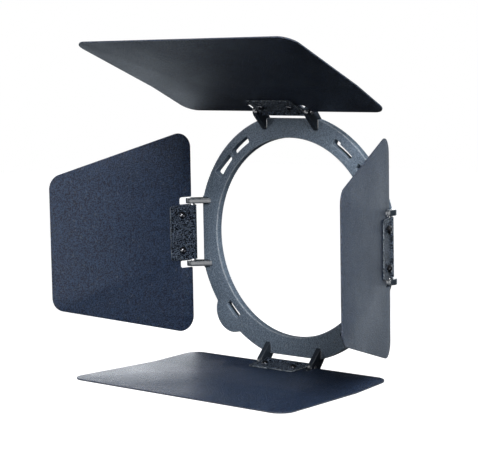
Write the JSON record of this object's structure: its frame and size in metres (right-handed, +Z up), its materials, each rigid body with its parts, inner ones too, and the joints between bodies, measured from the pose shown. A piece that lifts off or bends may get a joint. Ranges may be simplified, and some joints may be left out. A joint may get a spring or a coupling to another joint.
{
  "type": "barn door attachment",
  "caption": "Barn door for a round stage light: a flat slotted ring carries wide and tapering leaves, each gripped to a hinge rod by a folded friction clamp, that swing to shape the beam.",
  "frame": {"origin": "on the ring's axis, in the flat rear face that seats on the light", "axes": "-Y is the way the light travels, +Z is up, +X is to the right of someone who faces the ring from the front"},
  "size_m": [0.3583, 0.1864, 0.3322],
  "materials": {
    "moulding": "dark grey glass-filled moulding, fine matt texture",
    "leaf_coat": "dark blue-grey powder coat on sheet",
    "clamp_coat": "coarse black wrinkle coat on steel strip",
    "rod_steel": "drawn bright steel",
    "fastener_black": "glossy black steel"
  },
  "bodies": {
    "ring": {"ring_frame": "moulding", "top_hinge_rod": "rod_steel", "right_hinge_rod": "rod_steel", "bottom_hinge_rod": "rod_steel", "left_hinge_rod": "rod_steel"},
    "top_leaf_assembly": {"top_leaf": "leaf_coat", "top_hinge_clamp": "clamp_coat", "top_clamp_screw_a": "fastener_black", "top_clamp_nut_a": "fastener_black", "top_clamp_screw_b": "fastener_black", "top_clamp_nut_b": "fastener_black"},
    "right_leaf_assembly": {"right_leaf": "leaf_coat", "right_hinge_clamp": "clamp_coat", "right_clamp_screw_a": "fastener_black", "right_clamp_nut_a": "fastener_black", "right_clamp_screw_b": "fastener_black", "right_clamp_nut_b": "fastener_black"},
    "bottom_leaf_assembly": {"bottom_leaf": "leaf_coat", "bottom_hinge_clamp": "clamp_coat", "bottom_clamp_screw_a": "fastener_black", "bottom_clamp_nut_a": "fastener_black", "bottom_clamp_screw_b": "fastener_black", "bottom_clamp_nut_b": "fastener_black"},
    "left_leaf_assembly": {"left_leaf": "leaf_coat", "left_hinge_clamp": "clamp_coat", "left_clamp_screw_a": "fastener_black", "left_clamp_nut_a": "fastener_black", "left_clamp_screw_b": "fastener_black", "left_clamp_nut_b": "fastener_black"}
  },
  "joints": [
    {"name": "top_hinge", "type": "hinge", "parent": "ring", "child": "top_leaf_assembly", "pos_m": [0, -0.016, 0.1265], "axis": [-1, 0, 0], "range_deg": [-86.8, 93.2]},
    {"name": "right_hinge", "type": "hinge", "parent": "ring", "child": "right_leaf_assembly", "pos_m": [0.1265, -0.016, 0], "axis": [0, 0, 1], "range_deg": [-110.5, 98]},
    {"name": "bottom_hinge", "type": "hinge", "parent": "ring", "child": "bottom_leaf_assembly", "pos_m": [0, -0.016, -0.1265], "axis": [1, 0, 0], "range_deg": [-51.9, 117.1]},
    {"name": "left_hinge", "type": "hinge", "parent": "ring", "child": "left_leaf_assembly", "pos_m": [-0.1265, -0.016, 0], "axis": [0, 0, -1], "range_deg": [-104.4, 105.6]}
  ]
}
